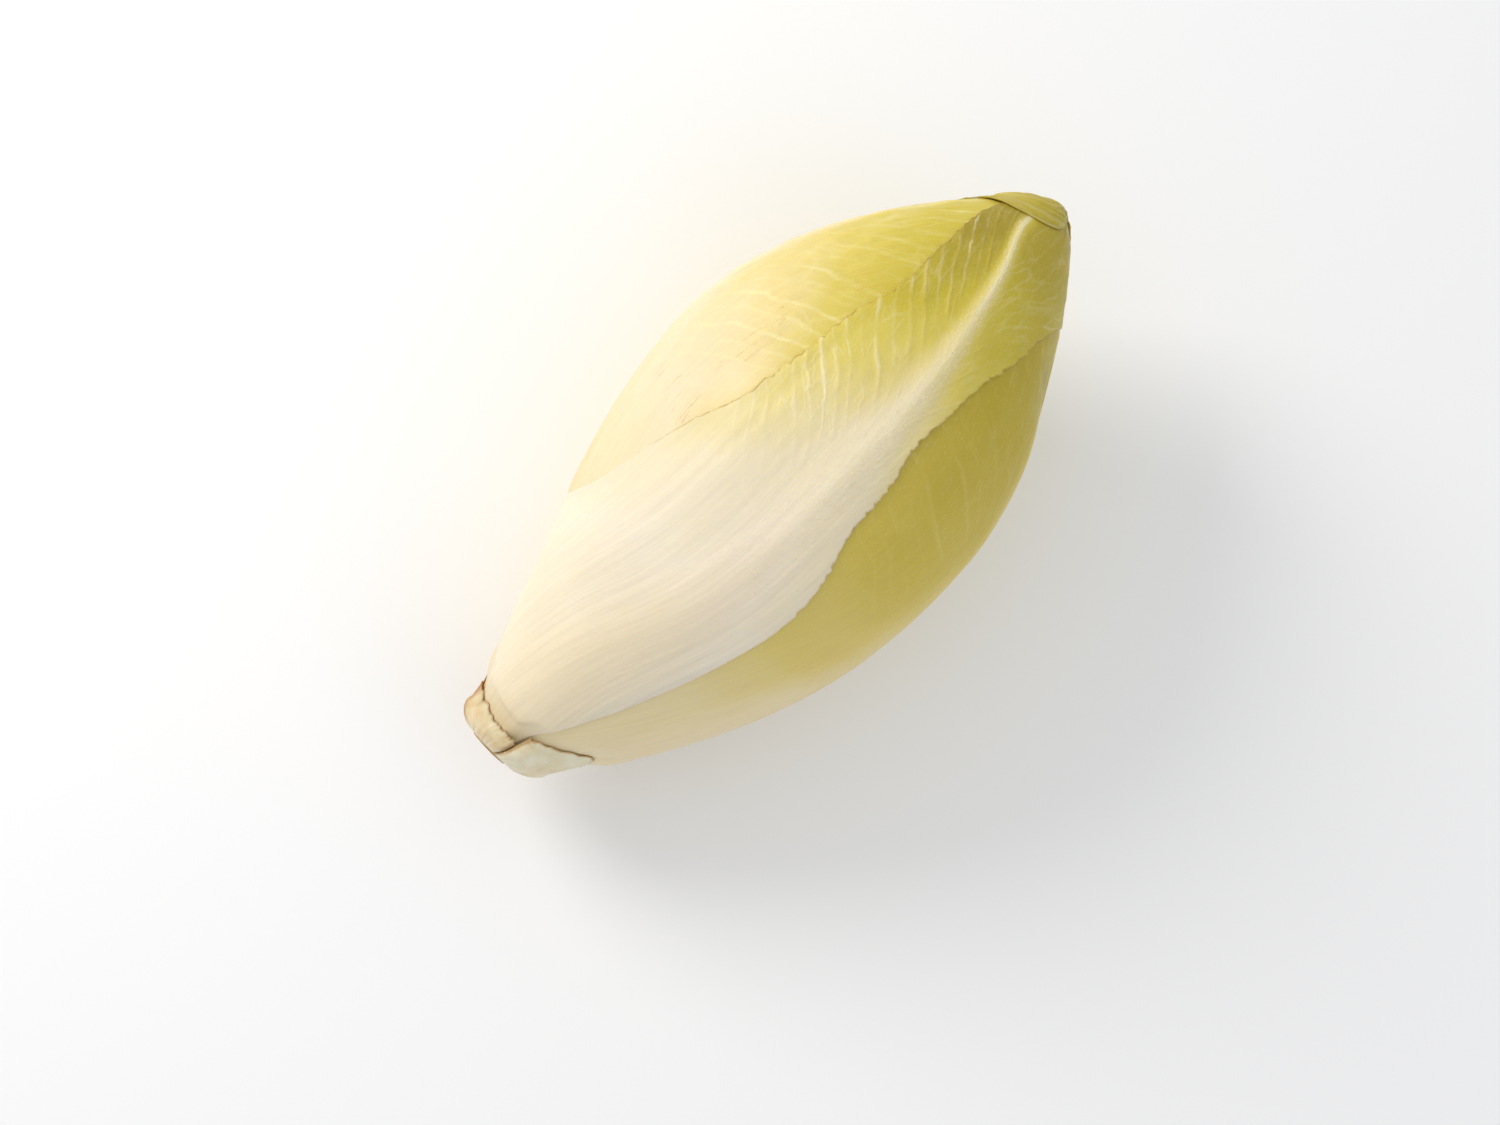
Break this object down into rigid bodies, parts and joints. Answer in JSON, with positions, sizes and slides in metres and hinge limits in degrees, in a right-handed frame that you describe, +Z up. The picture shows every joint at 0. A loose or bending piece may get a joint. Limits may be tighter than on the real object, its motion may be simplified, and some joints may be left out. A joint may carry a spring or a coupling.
{
  "type": "belgian endive",
  "caption": "Belgian endive head lying on its side: a pointed chicon of pale overlapping leaves that wrap a short core, trimmed at the root end.",
  "frame": {"origin": "middle of the underside of the whole head's box, on the surface it lies on", "axes": "+X from the cut root end to the tip, +Y to the head's left seen from above, +Z up through the broad leaf on top"},
  "size_m": [0.1536, 0.0742, 0.0699],
  "materials": {
    "outer_leaf": "waxy, slightly translucent leaf: cream at the root, yellow-green at the edges and tip",
    "inner_leaf": "waxy pale yellow leaf",
    "heart_leaf": "waxy yellow leaf",
    "cut_tissue": "cut root tissue, cream with browned edges"
  },
  "bodies": {
    "root": {"outer_leaf_back": "outer_leaf", "outer_leaf_front": "outer_leaf", "outer_leaf_left": "outer_leaf", "outer_leaf_right": "outer_leaf", "trimmed_leaf_stub_left": "cut_tissue", "trimmed_leaf_stub_back": "cut_tissue", "trimmed_leaf_stub_right": "cut_tissue", "core": "cut_tissue", "inner_leaf_05": "inner_leaf", "inner_leaf_06": "inner_leaf", "inner_leaf_07": "inner_leaf", "inner_leaf_08": "inner_leaf", "inner_leaf_09": "inner_leaf", "inner_leaf_10": "inner_leaf", "inner_leaf_11": "inner_leaf", "inner_leaf_12": "inner_leaf", "inner_leaf_13": "inner_leaf", "heart_leaf_14": "heart_leaf", "heart_leaf_15": "heart_leaf", "heart_leaf_16": "heart_leaf", "heart_leaf_17": "heart_leaf"}
  },
  "joints": []
}
